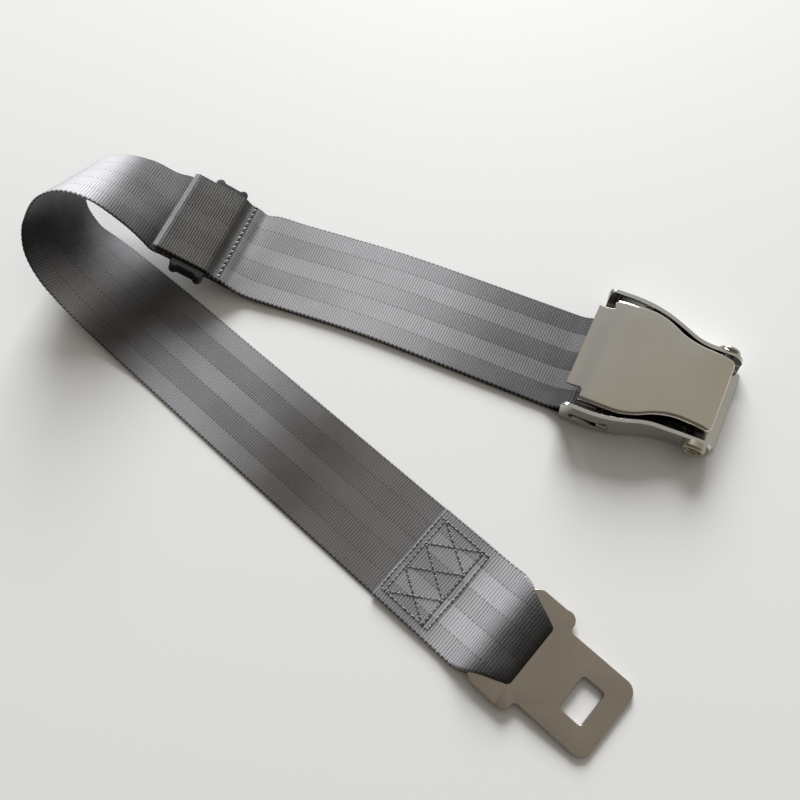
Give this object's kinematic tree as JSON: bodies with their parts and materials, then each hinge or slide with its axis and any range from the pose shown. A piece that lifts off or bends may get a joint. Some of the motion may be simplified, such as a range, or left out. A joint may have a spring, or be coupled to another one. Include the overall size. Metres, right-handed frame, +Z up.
{
  "type": "seat belt extender",
  "caption": "Airline seat belt extender: lift-latch buckle with an adjuster bar on folded webbing, a plastic web keeper and a flat steel tongue.",
  "frame": {"origin": "point on the underside of the buckle frame's base plate, in the middle of the frame's length and width, level with the table", "axes": "+X along the buckle towards its mouth, +Y across along the hinge pin towards the pin's domed head, +Z up out of the lift cover"},
  "size_m": [0.3375, 0.187, 0.0533],
  "materials": {
    "polished_steel": "polished nickel-chrome plate",
    "cover_steel": "polished stainless sheet",
    "pin_collar": "yellow passivated",
    "spacer_plastic": "moulded",
    "latch_steel": "tumbled",
    "spring_wire": "drawn wire",
    "webbing": "woven polyester, grey",
    "keeper_plastic": "gloss moulded",
    "tongue_steel": "satin plated"
  },
  "bodies": {
    "frame": {"buckle_frame": "polished_steel", "pivot_pin": "polished_steel", "pivot_collar": "pin_collar", "pivot_spacers": "spacer_plastic"},
    "cover": {"lift_cover": "cover_steel"},
    "latch": {"latch_plate": "latch_steel", "latch_spring": "spring_wire"},
    "strap": {"webbing": "webbing", "adjuster_bar": "latch_steel"},
    "keeper": {"web_keeper": "keeper_plastic"},
    "tongue": {"tongue_plate": "tongue_steel"}
  },
  "joints": [
    {"name": "cover_lift", "type": "hinge", "parent": "frame", "child": "cover", "pos_m": [0.025, 0, 0.0095], "axis": [0, 1, 0], "range_deg": [0, 90], "stiffness_Nm_per_rad": 0.03, "springref_deg": -45.84, "deforming": ["latch_spring"]},
    {"name": "latch_swing", "type": "hinge", "parent": "frame", "child": "latch", "pos_m": [0.025, 0, 0.0095], "axis": [0, 1, 0], "range_deg": [0, 18]},
    {"name": "adjuster_slide", "type": "slide", "parent": "frame", "child": "strap", "axis": [1, 0, 0], "range_m": [-0.0082, 0]},
    {"name": "keeper_slide", "type": "slide", "parent": "strap", "child": "keeper", "axis": [-0.9011, -0.0536, 0.4303], "range_m": [0, 0.006]},
    {"name": "tongue_swing", "type": "hinge", "parent": "strap", "child": "tongue", "pos_m": [-0.01517, -0.1267, 0.0039], "axis": [0.279, 0.9603, 0], "range_deg": [-20, 10]}
  ],
  "couplings": [
    {"joint": "latch_swing", "follows": "cover_lift", "ratio": 0.2}
  ]
}
